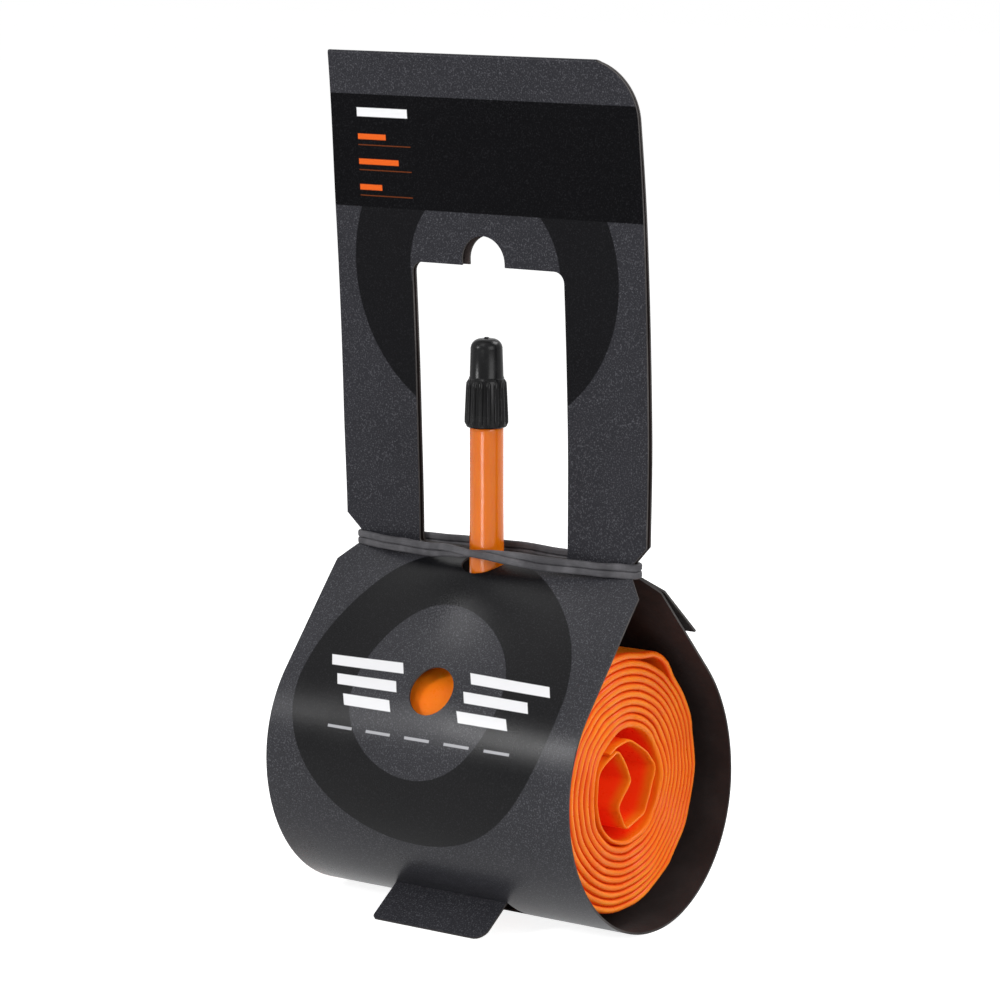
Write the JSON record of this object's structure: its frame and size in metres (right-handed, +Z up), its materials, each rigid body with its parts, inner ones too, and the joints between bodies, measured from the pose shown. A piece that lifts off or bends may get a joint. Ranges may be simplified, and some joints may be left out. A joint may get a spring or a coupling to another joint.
{
  "type": "bicycle inner tube in a card sleeve",
  "caption": "Flattened bicycle inner tube, rolled up in a folded card sleeve with a hanging header; its capped valve stands upright and a rubber band closes the neck.",
  "frame": {"origin": "on the ground, under the middle of the pack's outer box", "axes": "+X along the roll to the right, +Y to the back, +Z up along the valve"},
  "size_m": [0.0664, 0.0516, 0.1536],
  "materials": {
    "card": "satin",
    "tube": "satin",
    "stem": "gloss",
    "core": "satin",
    "seal": "matte",
    "cap": "satin",
    "band": "matte"
  },
  "bodies": {
    "pack": {"header_front": "card", "header_back": "card", "sleeve": "card", "coiled_tube": "tube", "valve_base": "tube", "valve_stem": "stem", "core_body": "core", "core_seal": "seal", "rubber_band": "band"},
    "cap": {"valve_cap": "cap"},
    "pin": {"core_pin": "core", "pin_seal": "seal"},
    "nut": {"lock_nut": "core"},
    "foot": {"foot_tab": "card"}
  },
  "joints": [
    {"name": "cap_lift", "type": "slide", "parent": "pack", "child": "cap", "axis": [0, 0, 1], "range_m": [0, 0.014]},
    {"name": "pin_press", "type": "slide", "parent": "pack", "child": "pin", "axis": [0, 0, -1], "range_m": [0, 0.002]},
    {"name": "lock_nut_turn", "type": "hinge", "parent": "pin", "child": "nut", "pos_m": [0.001, -0.00519, 0.1], "axis": [0, 0, 1], "continuous": true},
    {"name": "foot_fold", "type": "hinge", "parent": "pack", "child": "foot", "pos_m": [0, -0.01438, 0.00538], "axis": [1, 0, 0], "range_deg": [0, 115]}
  ]
}
